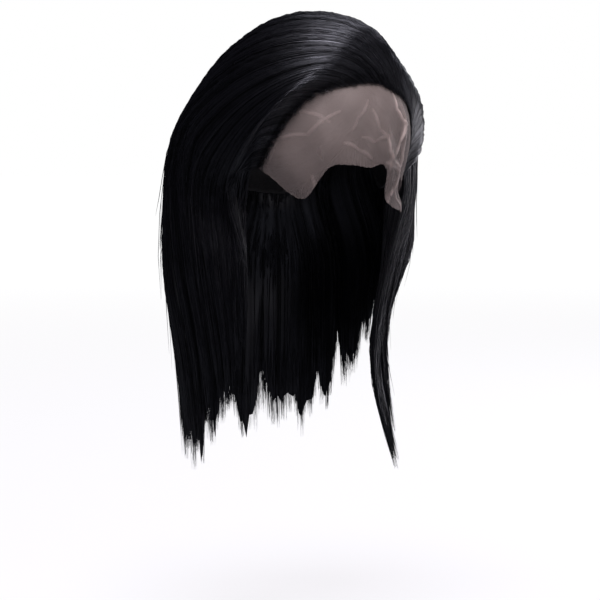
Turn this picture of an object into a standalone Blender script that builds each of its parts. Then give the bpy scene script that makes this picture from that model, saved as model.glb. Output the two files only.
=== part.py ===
"""A long, straight, black lace front wig, worn: the stretch cap, the sheer lace front with its uncut edge
and its loose tail, and the hair, swept back from the hairline over the crown and hanging in locks.

Metres, +Z up against gravity. The wearer faces -Y, and the wearer's left is +X. The origin is the inside of
the cap at the top of the head, where a head carries the wig. Azimuths are degrees round the head from the
front, positive to the wearer's left. Elevations are degrees above the head's widest level.
"""

import math

import bmesh
import bpy
import numpy as np

# The head that the cap is cut for, an egg shape, and how it leans as the wig is worn.
HEAD_LENGTH = 0.190
HEAD_BREADTH = 0.152
CROWN_HEIGHT = 0.103
LEAN_LEFT_DEG = 6.7
LEAN_FORWARD_DEG = 4.4

# Cloth walls, and the gaps that keep the pieces apart.
CAP_WALL = 0.0015
LACE_WALL = 0.0010
SEAM_GAP = 0.0009
HAIR_CLEARANCE = 0.0006
PARTING_GAP = 0.0009
BELOW_EDGE_DEG = 3  # how far below the cap's edge the hair leaves the head

# The hair's lengths, from the head's widest level down.
HAIR_DROP = 0.300  # to the longest tips
NECK_DROP = 0.105  # to the middle of the neck
MID_SHARE = 0.45  # share of the way from the neck to the tips at which a guide's middle is given

# The hair's body: a wall of locks, side by side, that part from each other near the tips.
ROOT_THICKNESS = 0.0022
TIP_THICKNESS = 0.0030
SWEEP_RISE = 0.30  # share of the way back at which the hair stands off by its lift
VOLUME_POWER = 1.70  # how late it then grows to a guide's own volume
LOCK_RELIEF = 0.0045  # how far a lock bulges past the grooves beside it
RELIEF_SHARE = 0.40  # the most that the relief takes of the wall's thickness
RELIEF_RISE = 0.50  # share of the way back at which the relief is at its full height
LOCK_ROUNDNESS = 0.80  # power of the sine across a lock: 1 is a sine, less is flatter on top
SPLIT_SHARE = 0.70  # share of the hanging length at which the locks part from each other
TIP_WIDTH_SHARE = 0.22
TIP_TAPER_POWER = 0.90

# The lace's relief.
LACE_RIPPLE = 0.0011
RIPPLE_WAVES = (9, 4, 7)  # waves for each turn round the head, their slant, and waves up and down
LACE_FOLD = 0.0060
FOLD_LENGTH_DEG = 26
TAIL_STAND_OFF = 0.0150
TAIL_TOP_DEG = -8  # elevation from which the tail hangs free
TAIL_GROWTH_DEG = 34  # how far below that it has its full stand-off
TAIL_START_DEG = 8  # azimuth from which the tail hangs free
TAIL_SPREAD_DEG = 22  # how far round from that it has its full stand-off
LACE_FREE_DEG = 16  # how far below the hairline the lace's folds have their full height
LACE_HEM_DEG = 4  # the least height of the lace, at its side ends
TEMPLE_TUCK = 0.0050  # how far the lace sinks into the left temple, which is hollower than an egg
TEMPLE_CENTRE = (46, -4)  # azimuth and elevation
TEMPLE_SPREAD = (24, 20)

# Mesh steps.
CAP_COLUMNS = 44
CAP_ROWS = 8
LACE_COLUMNS = 48
LACE_ROWS = 12
SWEPT_ROWS = 14
HANGING_ROWS = 8
LOCK_FACETS = 4
INNER_FACETS = 2
PATH_STEPS = 120

# The cap's edge: azimuth and elevation. It is the seam with the lace from one ear to the other, and then the
# ear notch and the nape.
CAP_EDGE = (
    # azimuth, elevation
    (0, 58),
    (25, 55),
    (48, 42),
    (64, 22),
    (76, -2),
    (86, -17),
    (95, -14),
    (105, 2),
    (120, 3),
    (136, -14),
    (155, -27),
    (180, -30),
)

# The hairline on the wearer's left, and mirrored on the right: share of the way from the middle to the
# temple, azimuth and elevation.
HAIRLINE = (
    # share, azimuth, elevation
    (0.00, 0.0, 38.5),
    (0.20, 21.0, 35.5),
    (0.35, 36.0, 31.4),
    (0.50, 49.5, 24.7),
    (0.66, 60.0, 12.0),
    (0.81, 68.0, 1.0),
    (1.00, 76.0, -13.6),
)

# The lace's free edge, from the wearer's right to the left: azimuth and elevation. The tail is at the left.
LACE_EDGE = (
    # azimuth, elevation
    (-78, -14),
    (-66, -18),
    (-52, -25),
    (-42, -25),
    (-31, -9),
    (-18, -6),
    (-4, -6),
    (7, -5),
    (10, -9),
    (12, -22),
    (15, -28),
    (21, -29.5),
    (27, -27),
    (29, -20),
    (31, -14),
    (40, -11),
    (50, -11),
    (60, -14),
    (68, -17),
    (78, -12),
)

# How the lace's tail draws together and then flares: its width and its shift round the head.
TAIL_MIDDLE = 20
TAIL_HALF_WIDTH = 14
TAIL_FORM = (
    # elevation, width, shift
    (-30, 1.75, 12.0),
    (-25, 1.35, 7.0),
    (-20, 0.80, 0.5),
    (-15.5, 0.52, -3.5),
    (-11, 0.80, -1.5),
    (-5, 1.00, 0.0),
    (5, 1.00, 0.0),
)

# Folds of the lace: the azimuth of the crest at the head's widest level, its half width, its height as a
# share of LACE_FOLD, how far it leans for each degree of elevation, and the elevation where it is highest.
LACE_FOLDS = (
    # azimuth, half_width, height, lean, highest
    (-58, 7.0, 0.16, 0.30, -8),
    (-36, 6.0, 0.20, -0.35, 2),
    (-6, 7.0, 0.14, 0.25, 14),
    (11, 4.5, 0.35, -0.35, -2),
    (23, 4.5, 0.75, 0.10, 8),
    (42, 6.0, 0.30, 0.15, 6),
    (62, 6.0, 0.25, 0.10, 2),
)

# The hair's guides, from the wearer's right temple round the back to the left temple.
# share: where the guide starts along the hairline. over_az, over_el: the direction that the hair is swept
# towards. lift: how far it soon stands off the head, as a share of half the head's length, as the other
# lengths here are. fall_az, volume: where it leaves the cap's edge, and how far it stands off there.
# neck, mid and hem: the outside of the hanging hair, as an azimuth and a reach that is a share of half the
# head's length. drop: the tips, as a share of the way from NECK_DROP to HAIR_DROP.
# body: the wall's thickness at the neck, as a share of half the head's length.
GUIDES = (
    # share, over_az, over_el, lift, fall_az, volume, neck_az, neck, mid_az, mid, hem_az, hem, drop, body
    (-1.00, -80, -16, 0.09, -82, 0.16, -78, 1.02, -77, 1.02, -76, 1.02, 0.38, 0.10),
    (-0.75, -75, -1, 0.16, -84, 0.19, -80, 1.05, -79, 1.04, -78, 1.02, 0.43, 0.12),
    (-0.50, -67, 12, 0.23, -87, 0.24, -83, 1.09, -82, 1.06, -81, 1.03, 0.50, 0.14),
    (-0.34, -67, 19, 0.22, -91, 0.30, -86, 1.16, -85, 1.09, -84, 1.04, 0.59, 0.17),
    (-0.18, -66, 28, 0.20, -97, 0.39, -92, 1.25, -91, 1.14, -90, 1.06, 0.74, 0.21),
    (0.00, -64, 40, 0.19, -107, 0.45, -103, 1.36, -102, 1.22, -101, 1.12, 0.90, 0.25),
    (0.14, -64, 54, 0.19, -122, 0.51, -118, 1.48, -117, 1.33, -116, 1.21, 0.99, 0.27),
    (0.28, -66, 73, 0.18, -146, 0.52, -144, 1.51, -144, 1.42, -143, 1.34, 0.95, 0.25),
    (0.36, -140, 84, 0.15, -170, 0.47, -170, 1.43, -170, 1.36, -170, 1.27, 0.95, 0.23),
    (0.44, 140, 78, 0.14, 160, 0.42, 160, 1.34, 160, 1.25, 160, 1.15, 0.92, 0.22),
    (0.54, 108, 62, 0.19, 132, 0.45, 130, 1.12, 129, 1.02, 129, 0.95, 0.68, 0.17),
    (0.68, 98, 44, 0.26, 110, 0.54, 104, 1.12, 102, 0.92, 101, 0.80, 0.42, 0.15),
    (0.84, 92, 24, 0.28, 97, 0.58, 91, 1.10, 87, 0.87, 83, 0.74, 0.44, 0.14),
    (0.90, 90, 18, 0.26, 92, 0.50, 86, 0.92, 78, 0.67, 62, 0.80, 0.97, 0.12),
    (1.00, 84, 4, 0.12, 82, 0.22, 80, 0.78, 66, 0.57, 54, 0.78, 1.00, 0.11),
)
GUIDE_COLUMNS = (
    "share over_az over_el lift fall_az volume neck_az neck mid_az mid hem_az hem drop body".split()
)

# The hair's pieces: first and last share of the hairline, and the number of locks. With crowding below 1, the
# first locks are the widest at the hairline, because they hang the closest together.
HAIR_PIECES = (
    # name, start, end, locks, crowding
    ("hair_right", -1.00, 0.12, 8, 0.75),
    ("hair_back", 0.12, 0.52, 10, 1.0),
    ("hair_left", 0.52, 0.86, 5, 1.0),
    ("left_front_lock", 0.86, 1.00, 3, 1.0),
)

# How much longer or shorter the locks inside a piece end than their guides, as a share of HAIR_DROP, in turn.
LOCK_TRIM = (0.02, -0.05, 0.01, -0.02, 0.03, -0.06, 0.00, -0.03)

COLOURS = {
    # slot: linear colour, roughness
    "hair": ((0.006, 0.006, 0.010), 0.35),
    "cap_net": ((0.015, 0.014, 0.016), 0.80),
    "lace": ((0.62, 0.50, 0.44), 0.75),
}


def clear_scene():
    for obj in list(bpy.data.objects):
        bpy.data.objects.remove(obj)


def eased(value):
    """0 to 1 with flat ends."""
    value = np.clip(value, 0, 1)
    return value * value * (3 - 2 * value)


def smooth_rows(at, rows):
    """Reads a table between its rows: the first column is where, and a cubic goes through the others."""
    rows = np.asarray(rows, float)
    where, values = rows[:, 0], rows[:, 1:]
    slopes = np.gradient(values, where, axis=0)
    at = np.atleast_1d(np.asarray(at, float))
    low = np.clip(np.searchsorted(where, at) - 1, 0, len(where) - 2)
    span = (where[low + 1] - where[low])[:, None]
    t = ((at - where[low])[:, None] / span).clip(0, 1)
    start, end = values[low], values[low + 1]
    leave, arrive = slopes[low] * span, slopes[low + 1] * span
    return (
        (2 * t**3 - 3 * t**2 + 1) * start
        + (t**3 - 2 * t**2 + t) * leave
        + (3 * t**2 - 2 * t**3) * end
        + (t**3 - t**2) * arrive
    )


def lean():
    """The rotation of the head's own frame."""
    left, forward = math.radians(LEAN_LEFT_DEG), math.radians(LEAN_FORWARD_DEG)
    to_left = np.array(
        [[math.cos(left), 0, math.sin(left)], [0, 1, 0], [-math.sin(left), 0, math.cos(left)]]
    )
    to_front = np.array(
        [[1, 0, 0], [0, math.cos(forward), -math.sin(forward)], [0, math.sin(forward), math.cos(forward)]]
    )
    return to_left @ to_front


HEAD_HALVES = np.array([HEAD_BREADTH / 2, HEAD_LENGTH / 2, CROWN_HEIGHT])
HEAD_TURN = lean()
HEAD_CENTRE = -HEAD_TURN @ np.array([0, 0, CROWN_HEIGHT])
HALF_LENGTH = HEAD_LENGTH / 2
# How far a facet's middle lies inside its curve.
FACET_SAG = HALF_LENGTH * (1 - math.cos(math.pi / SWEPT_ROWS / 2))


def direction(azimuth, elevation):
    """Unit vectors, in the head's frame, of degrees round from the front and degrees up."""
    azimuth, elevation = np.radians(azimuth), np.radians(elevation)
    return np.stack(
        [
            np.sin(azimuth) * np.cos(elevation),
            -np.cos(azimuth) * np.cos(elevation),
            np.sin(elevation) + 0 * azimuth,
        ],
        axis=-1,
    )


def head_point(ray, offset):
    """Points on the head towards each ray, moved off its surface by offset."""
    on_head = ray * HEAD_HALVES
    outward = on_head / HEAD_HALVES**2
    outward /= np.linalg.norm(outward, axis=-1, keepdims=True)
    return (on_head + outward * np.asarray(offset)[..., None]) @ HEAD_TURN.T + HEAD_CENTRE


def cap_edge(azimuth):
    """The elevation of the cap's edge."""
    return smooth_rows(np.abs(azimuth), CAP_EDGE)[:, 0]


def hairline(azimuth):
    """The elevation of the hairline."""
    rows = [(azimuth, elevation) for _, azimuth, elevation in HAIRLINE]
    return smooth_rows(np.abs(azimuth), rows)[:, 0]


def make_object(name, slot, verts, faces):
    mesh = bpy.data.meshes.new(name)
    mesh.from_pydata([tuple(v) for v in verts], [], faces)
    built = bmesh.new()
    built.from_mesh(mesh)
    bmesh.ops.recalc_face_normals(built, faces=built.faces)
    built.to_mesh(mesh)
    built.free()
    mesh.shade_smooth()
    mesh.set_sharp_from_angle(angle=math.radians(40))
    mesh.materials.append(material(slot))
    obj = bpy.data.objects.new(name, mesh)
    bpy.context.scene.collection.objects.link(obj)
    return obj


def material(slot):
    found = bpy.data.materials.get(slot)
    if found:
        return found
    colour, roughness = COLOURS[slot]
    made = bpy.data.materials.new(slot)
    made.use_nodes = True
    shader = made.node_tree.nodes["Principled BSDF"]
    shader.inputs["Base Color"].default_value = (*colour, 1)
    shader.inputs["Roughness"].default_value = roughness
    shader.inputs["Metallic"].default_value = 0
    return made


def wig_cap():
    """The stretch cap: a dome with ear tabs and a nape, open below, and its front edge at the lace's seam."""
    azimuth = np.arange(CAP_COLUMNS) * 360 / CAP_COLUMNS - 180
    edge = cap_edge(azimuth)
    verts, faces = [], []
    for offset in (0, CAP_WALL):
        for row in range(CAP_ROWS):
            elevation = edge + (90 - edge) * row / CAP_ROWS
            verts.extend(head_point(direction(azimuth, elevation), np.full(CAP_COLUMNS, offset)))
        verts.append(head_point(direction(0, 90), offset))
    wall = CAP_ROWS * CAP_COLUMNS + 1
    for side in (0, wall):
        for column in range(CAP_COLUMNS):
            beside = (column + 1) % CAP_COLUMNS
            for row in range(CAP_ROWS - 1):
                low, high = side + row * CAP_COLUMNS, side + (row + 1) * CAP_COLUMNS
                faces.append((low + column, low + beside, high + beside, high + column))
            faces.append((high + column, high + beside, side + wall - 1))
    for column in range(CAP_COLUMNS):
        beside = (column + 1) % CAP_COLUMNS
        faces.append((column, beside, wall + beside, wall + column))
    return make_object("wig_cap", "cap_net", verts, faces)


def lace_relief(azimuth, elevation):
    """How far the lace stands off the head: ripples, folds, the tail, which hangs free, and the temple."""
    around, slant, upright = RIPPLE_WAVES
    wave = np.sin(np.radians(azimuth * around + elevation * slant)) * np.cos(np.radians(elevation * upright))
    relief = LACE_RIPPLE * (1 + wave)
    for crest, half_width, height, fold_slant, highest in LACE_FOLDS:
        across = (azimuth - crest - fold_slant * elevation) / half_width
        along = (elevation - highest) / FOLD_LENGTH_DEG
        relief += LACE_FOLD * height * np.exp(-(across**2) - along**2)
    low = eased((TAIL_TOP_DEG - elevation) / TAIL_GROWTH_DEG)
    left = eased((azimuth - TAIL_START_DEG) / TAIL_SPREAD_DEG)
    relief += TAIL_STAND_OFF * low * left
    across = (azimuth - TEMPLE_CENTRE[0]) / TEMPLE_SPREAD[0]
    along = (elevation - TEMPLE_CENTRE[1]) / TEMPLE_SPREAD[1]
    relief -= TEMPLE_TUCK * np.exp(-(across**2) - along**2)
    return LACE_WALL + relief * eased((hairline(azimuth) - elevation) / LACE_FREE_DEG)


def lace_azimuth(column, elevation):
    """Where round the head each point of the lace lies: the tail draws together and then flares."""
    width, shift = smooth_rows(elevation, TAIL_FORM).T
    share = np.exp(-(((column - TAIL_MIDDLE) / TAIL_HALF_WIDTH) ** 4))
    return column + share * ((width - 1) * (column - TAIL_MIDDLE) + shift)


def lace_front():
    """The lace panel, from its seam with the cap, under the front hair, down over the brow to its edge."""
    first, last = LACE_EDGE[0][0], LACE_EDGE[-1][0]
    column = np.linspace(first, last, LACE_COLUMNS + 1)
    top = cap_edge(column) - math.degrees(SEAM_GAP / HALF_LENGTH)
    bottom = np.minimum(smooth_rows(column, LACE_EDGE)[:, 0], top - LACE_HEM_DEG)
    outer, inner = [], []
    for row in range(LACE_ROWS + 1):
        elevation = top + (bottom - top) * row / LACE_ROWS
        azimuth = lace_azimuth(column, elevation)
        relief = lace_relief(azimuth, elevation)
        outer.extend(head_point(direction(azimuth, elevation), relief))
        inner.extend(head_point(direction(azimuth, elevation), relief - LACE_WALL))
    faces = sheet_faces(LACE_COLUMNS, LACE_ROWS)
    return make_object("lace_front", "lace", outer + inner, faces)


def sheet_faces(columns, rows):
    """Quads of a closed wall: an outer grid of points, the same grid inside it, and the edges between."""
    wide = columns + 1
    inside = wide * (rows + 1)
    faces = []
    for row in range(rows):
        for column in range(columns):
            a = row * wide + column
            quad = (a, a + 1, a + wide + 1, a + wide)
            faces.append(quad)
            faces.append(tuple(inside + v for v in reversed(quad)))
    rim = [*range(wide)]
    rim += [row * wide + columns for row in range(1, rows + 1)]
    rim += [rows * wide + column for column in range(columns - 1, -1, -1)]
    rim += [row * wide for row in range(rows - 1, 0, -1)]
    for a, b in zip(rim, rim[1:] + rim[:1]):
        faces.append((b, a, inside + a, inside + b))
    return faces


def plan_point(azimuth, reach, drop):
    """A point hanging below the head's widest level, at reach from the head's axis."""
    azimuth = np.radians(azimuth)
    offset = np.stack([reach * np.sin(azimuth), -reach * np.cos(azimuth), -drop], axis=-1)
    return HEAD_CENTRE + offset


def guide_vectors():
    """One row for each guide: its share, and then its directions, points and sizes as numbers."""
    rows = []
    for values in GUIDES:
        guide = dict(zip(GUIDE_COLUMNS, values))
        _, root_az, root_el = smooth_rows(abs(guide["share"]), [(row[0], *row) for row in HAIRLINE])[0]
        hem_drop = NECK_DROP + guide["drop"] * (HAIR_DROP - NECK_DROP)
        mid_drop = NECK_DROP + MID_SHARE * (hem_drop - NECK_DROP)
        rows.append(
            [
                guide["share"],
                *direction(math.copysign(root_az, guide["share"]), root_el),
                *direction(guide["over_az"], guide["over_el"]),
                *direction(guide["fall_az"], cap_edge(guide["fall_az"])[0] - BELOW_EDGE_DEG),
                *plan_point(guide["neck_az"], guide["neck"] * HALF_LENGTH, NECK_DROP),
                *plan_point(guide["mid_az"], guide["mid"] * HALF_LENGTH, mid_drop),
                *plan_point(guide["hem_az"], guide["hem"] * HALF_LENGTH, hem_drop),
                guide["lift"] * HALF_LENGTH,
                guide["volume"] * HALF_LENGTH,
                guide["body"] * HALF_LENGTH,
            ]
        )
    return rows


def unit(vector):
    return vector / np.linalg.norm(vector, axis=-1, keepdims=True)


def turned(start, end, share):
    """Unit vectors part of the way from start to end along the great circle between them."""
    angle = np.arccos(np.clip((start * end).sum(-1, keepdims=True), -1, 1))
    return (np.sin((1 - share) * angle) * start + np.sin(share * angle) * end) / np.sin(angle)


def smooth_path(points):
    """A fine path on a cubic through the given points."""
    points = np.asarray(points)
    along = np.concatenate([[0], np.cumsum(np.linalg.norm(np.diff(points, axis=0), axis=1))])
    return smooth_rows(np.linspace(0, along[-1], PATH_STEPS), np.column_stack([along, points]))


def hair_path(share, trim, guides):
    """The outer and the inner path of the hair that starts at a share of the hairline, root to tip, and each
    point's progress: from -1 at the root to 0 where the hair leaves the head, and on to 1 at the tip."""
    values = smooth_rows(share, guides)[0]
    root, over, fall = (unit(values[k : k + 3]) for k in (0, 3, 6))
    neck, mid, hem = values[9:12], values[12:15], values[15:18] - np.array([0, 0, trim * HAIR_DROP])
    lift, volume, body = values[18:21]
    swept = np.linspace(0, 1, SWEPT_ROWS + 1)[:, None]
    ray = turned(turned(root, over, swept), turned(over, fall, swept), swept)
    swept = swept[:, 0]
    early = eased(swept / SWEEP_RISE)
    late = np.clip((swept - SWEEP_RISE) / (1 - SWEEP_RISE), 0, 1) ** VOLUME_POWER
    stand_off = ROOT_THICKNESS + (lift - ROOT_THICKNESS) * early + (volume - lift) * late
    base = max(CAP_WALL, LACE_WALL) + FACET_SAG + HAIR_CLEARANCE
    outer_head, inner_head = head_point(ray, base + stand_off), head_point(ray, base + 0 * swept)
    outward = [unit((point - HEAD_CENTRE) * np.array([1, 1, 0])) for point in (neck, mid, hem)]
    walls = (body, body * (1 - MID_SHARE) + TIP_THICKNESS * MID_SHARE, TIP_THICKNESS)
    inside = [point - way * wall for point, way, wall in zip((neck, mid, hem), outward, walls)]
    rows = np.linspace(0, 1, HANGING_ROWS + 1)[1:]
    paths = []
    for on_head, hanging in ((outer_head, [neck, mid, hem]), (inner_head, inside)):
        path = smooth_path([*on_head[-3:], *hanging])
        paths.append(np.concatenate([on_head, sampled(hanging_part(path, on_head[-1]), rows)]))
    return *paths, np.concatenate([swept - 1, rows])


def hanging_part(path, start):
    """The part of a path from the point nearest to start on."""
    nearest = np.argmin(np.linalg.norm(path - start, axis=1))
    return np.concatenate([[start], path[nearest + 1 :]])


def sampled(path, shares):
    """Points at the given shares of a path's length."""
    length = np.concatenate([[0], np.cumsum(np.linalg.norm(np.diff(path, axis=0), axis=1))])
    return np.column_stack([np.interp(shares * length[-1], length, column) for column in path.T])


def lock_skins(start, end, trim, guides):
    """The outer and inner points of one lock, as [row][column], from one share of the hairline to another.
    Below the split it narrows towards its middle line."""
    middle = hair_path((start + end) / 2, trim, guides)
    progress = middle[2]
    tapered = eased((progress - SPLIT_SHARE) / (1 - SPLIT_SHARE)) ** TIP_TAPER_POWER
    narrow = 1 - (1 - TIP_WIDTH_SHARE) * tapered
    skins = []
    for side, facets in ((0, LOCK_FACETS), (1, INNER_FACETS)):
        shares = np.linspace(start, end, facets + 1)
        points = np.stack([hair_path(share, trim, guides)[side] for share in shares], axis=1)
        centre = middle[side][:, None]
        skins.append(centre + (points - centre) * narrow[:, None, None])
    wall = middle[0] - middle[1]
    relief = np.minimum(LOCK_RELIEF, RELIEF_SHARE * np.linalg.norm(wall, axis=1))
    grown = relief * eased((progress + 1) / RELIEF_RISE)
    bulge = np.sin(np.pi * np.linspace(0, 1, LOCK_FACETS + 1)) ** LOCK_ROUNDNESS - 1
    skins[0] += unit(wall)[:, None] * (grown[:, None] * bulge)[..., None]
    return skins


def hair_piece(name, start, end, locks, crowding, guides):
    """Locks side by side, fused from their roots to the split, and loose from there to their tips."""
    edges = start + (end - start) * np.linspace(0, 1, locks + 1) ** crowding
    verts, faces = [], []
    joined = SWEPT_ROWS + 1 + sum(np.linspace(0, 1, HANGING_ROWS + 1)[1:] <= SPLIT_SHARE)
    beside = None
    for lock in range(locks):
        grids = []
        skins = lock_skins(edges[lock], edges[lock + 1], trim_of(lock, locks), guides)
        for side, points in enumerate(skins):
            grid = np.arange(points.shape[0] * points.shape[1]).reshape(points.shape[:2]) + len(verts)
            if beside is not None:
                grid[:joined, 0] = beside[side][:joined]
            verts.extend(points.reshape(-1, 3))
            grids.append(grid)
        faces.extend(lock_faces(*grids, joined, lock == 0, lock == locks - 1))
        beside = [grid[:, -1] for grid in grids]
    return make_object(name, "hair", *used_only(verts, faces))


def trim_of(lock, locks):
    return LOCK_TRIM[lock % len(LOCK_TRIM)] if 0 < lock < locks - 1 else 0


def lock_faces(outer, inner, joined, first, last):
    """The faces of one lock: its two skins, its root, its tip, and its sides where no lock is beside."""
    faces = []
    for skin in (outer, inner):
        for row in range(skin.shape[0] - 1):
            for column in range(skin.shape[1] - 1):
                here, below = skin[row], skin[row + 1]
                faces.append((here[column], here[column + 1], below[column + 1], below[column]))
    for side, open_edge in ((0, first), (-1, last)):
        for row in range(0 if open_edge else joined - 1, outer.shape[0] - 1):
            faces.append((outer[row, side], outer[row + 1, side], inner[row + 1, side], inner[row, side]))
    for row in (0, -1):
        faces.append((*outer[row], *inner[row][::-1]))
    return faces


def used_only(verts, faces):
    """Drops the points that no face uses."""
    used = sorted({v for face in faces for v in face})
    place = {v: k for k, v in enumerate(used)}
    return [verts[v] for v in used], [tuple(place[v] for v in face) for face in faces]


def main():
    clear_scene()
    wig_cap()
    lace_front()
    guides = guide_vectors()
    parting = PARTING_GAP / HEAD_LENGTH
    for name, start, end, locks, crowding in HAIR_PIECES:
        hair_piece(name, start + parting, end - parting, locks, crowding, guides)


main()
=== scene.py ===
"""The looks of the lace front wig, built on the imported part: fine strands over dark locks, sheer creased
lace with a cut edge, and a stretch net cap with sewn rows.

Metres, in the part's own frame: +Z up, the wearer faces -Y, the wearer's left is +X, and the origin is the
inside of the cap at the top of the head. Azimuths are degrees round the head from the front, positive to the
wearer's left. Elevations are degrees above the head's widest level. Progress along the hair goes from -1 at
the hairline to 0 where the hair leaves the head, and on to 1 at the tips.
"""

import math

import bpy
import numpy as np
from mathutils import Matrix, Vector


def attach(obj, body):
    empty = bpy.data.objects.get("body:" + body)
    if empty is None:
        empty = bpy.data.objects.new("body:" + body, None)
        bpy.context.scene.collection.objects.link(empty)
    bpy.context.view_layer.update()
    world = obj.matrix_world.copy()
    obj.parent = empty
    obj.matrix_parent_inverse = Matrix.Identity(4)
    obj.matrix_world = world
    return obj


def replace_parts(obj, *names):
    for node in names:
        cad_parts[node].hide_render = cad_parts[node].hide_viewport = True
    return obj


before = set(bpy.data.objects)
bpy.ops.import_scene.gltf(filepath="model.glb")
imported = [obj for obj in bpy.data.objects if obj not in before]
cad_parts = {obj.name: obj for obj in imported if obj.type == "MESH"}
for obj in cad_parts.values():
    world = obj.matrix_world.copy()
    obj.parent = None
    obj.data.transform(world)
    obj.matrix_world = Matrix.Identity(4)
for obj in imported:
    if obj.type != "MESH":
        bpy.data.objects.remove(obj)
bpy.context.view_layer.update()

SEED = 7

# The head that the cap is cut for, and how it leans, as in the part's source.
HEAD_LENGTH = 0.190
HEAD_BREADTH = 0.152
CROWN_HEIGHT = 0.103
LEAN_LEFT_DEG = 6.7
LEAN_FORWARD_DEG = 4.4
CAP_WALL = 0.0015
LACE_WALL = 0.0010
SEAM_GAP = 0.0009
HAIR_CLEARANCE = 0.0006
BELOW_EDGE_DEG = 3
HAIR_DROP = 0.300
NECK_DROP = 0.105
MID_SHARE = 0.45
ROOT_THICKNESS = 0.0022
TIP_THICKNESS = 0.0030
SWEEP_RISE = 0.30
VOLUME_POWER = 1.70
LACE_RIPPLE = 0.0011
RIPPLE_WAVES = (9, 4, 7)
LACE_FOLD = 0.0060
FOLD_LENGTH_DEG = 26
TAIL_STAND_OFF = 0.0150
TAIL_TOP_DEG = -8
TAIL_GROWTH_DEG = 34
TAIL_START_DEG = 8
TAIL_SPREAD_DEG = 22
LACE_FREE_DEG = 16
LACE_HEM_DEG = 4
TEMPLE_TUCK = 0.0050
TEMPLE_CENTRE = (46, -4)
TEMPLE_SPREAD = (24, 20)
SOURCE_SWEPT_ROWS = 14

# How finely the hair's skins are worked out.
SWEPT_STEPS = 28
HANGING_STEPS = 36
ACROSS_STEPS = 8
PATH_STEPS = 120

# The locks under the strands.
LOCK_RELIEF = 0.0024
RELIEF_SHARE = 0.30
RELIEF_RISE = 0.50
LOCK_ROUNDNESS = 0.80
SPLIT_SHARE = 0.62
LOCK_TIP_SHARE = 0.80
LOCK_TIP_VARIETY = 0.15
TIP_VARIETY_WAVE = 977  # a fast wave, so that each lock's tip gets a width of its own
CORE_INSET = 0.0020  # how far the dark core lies below the outer strands
CORE_LINING = 0.0008
CORE_INSET_SHARE = 0.45  # the most that the inset takes of the lock's thickness, and the lining below
CORE_LINING_SHARE = 0.20
CORE_START = -0.955
CORE_RISE = 0.16
CORE_EDGE_SHARE = 0.30  # share of a lock over which an open side of the core thins out
CORE_END = 0.83
CORE_END_SPREAD = 0.16
CORE_ROWS = 34

# The strands: bundles of fibres, as fine three-sided tubes.
STRAND_RADIUS = 0.00030
TIP_RADIUS_SHARE = 0.18
TIP_TAPER = 0.12  # share of a strand over which it thins out to its tip
ROOT_RADIUS_SHARE = 0.45
ROOT_TAPER = 0.08
SHORT_RADIUS_SHARE = 0.8
STRAND_SIDES = 3
SWEPT_DETAIL = 2.0  # how much finer the steps are over the head
ROUNDING = 1e-9
STRAND_LAYER = 0.0022
WISPS = 7  # in each lock
WISP_JITTER = 0.55
WISP_SPREAD = 1.25
WISP_DEPTH = 0.0010
WISP_GATHER = 0.40  # how far from their roots the strands have gathered into wisps
WISP_TIP_SHARE = 0.50
WISP_SHORTENING = 0.09
CLUMP_START = 0.30
ROOT_STEP = 0.018
ROOT_RISE = 0.045
ROOT_SCATTER = 0.0048  # how far roots stray over the lace in front of the hairline
ROOT_SETTLE = 0.030
ROOT_LIFT = 0.0016  # how far roots stand above the lace that they are tied to
ROOT_STRAY = 0.0012  # how far they stray sideways, and short hairs below
SHORT_STRAY = 0.0040
BURIED = 0.0035
FLYAWAY_SHARE = 0.06
FLYAWAY_REACH = 0.009
SHORT_HAIRS = 45  # fine short hairs in each lock along the hairline
SHORT_LENGTH = (0.04, 0.14)
FLYAWAY_END = (0.25, 0.95)  # where flyaways end, as a share of the others' length
TIP_SCATTER = 0.14  # how much shorter than its wisp a strand may be
TIP_SCATTER_POWER = 2.5
STRAND_STEPS = {"swept": 19, "crown": 14, "lining": 8, "short": 5}
STRAND_STARTS = {
    "swept": (-1, -0.994),
    "crown": (-0.75, -0.15),
    "lining": (-0.08, -0.20),
    "short": (-1, -0.994),
}
WANDER_AT_ROOT = 0.0003  # how far strands wander off their lines
WANDER_AT_TIP = 0.0025

# The cap's edge and the hairline, as in the part's source, and the lace's free edge, whose loose tail is
# shorter here than there.
CAP_EDGE = (
    # azimuth, elevation
    (0, 58),
    (25, 55),
    (48, 42),
    (64, 22),
    (76, -2),
    (86, -17),
    (95, -14),
    (105, 2),
    (120, 3),
    (136, -14),
    (155, -27),
    (180, -30),
)
HAIRLINE = (
    # share, azimuth, elevation
    (0.00, 0.0, 38.5),
    (0.20, 21.0, 35.5),
    (0.35, 36.0, 31.4),
    (0.50, 49.5, 24.7),
    (0.66, 60.0, 12.0),
    (0.81, 68.0, 1.0),
    (1.00, 76.0, -13.6),
)
LACE_EDGE = (
    # azimuth, elevation
    (-78, -14),
    (-66, -18),
    (-52, -25),
    (-42, -25),
    (-31, -9),
    (-18, -6),
    (-4, -6),
    (7, -5),
    (10, -9),
    (12, -20),
    (14, -22.5),
    (20, -24.5),
    (28, -25.5),
    (31, -24.5),
    (33, -14),
    (40, -11),
    (50, -11),
    (60, -14),
    (68, -17),
    (78, -12),
)
LACE_FOLDS = (
    # azimuth, half_width, height, lean, highest
    (-58, 7.0, 0.16, 0.30, -8),
    (-36, 6.0, 0.20, -0.35, 2),
    (-6, 7.0, 0.14, 0.25, 14),
    (11, 4.5, 0.35, -0.35, -2),
    (23, 4.5, 0.75, 0.10, 8),
    (42, 6.0, 0.30, 0.15, 6),
    (62, 6.0, 0.25, 0.10, 2),
)

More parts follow.
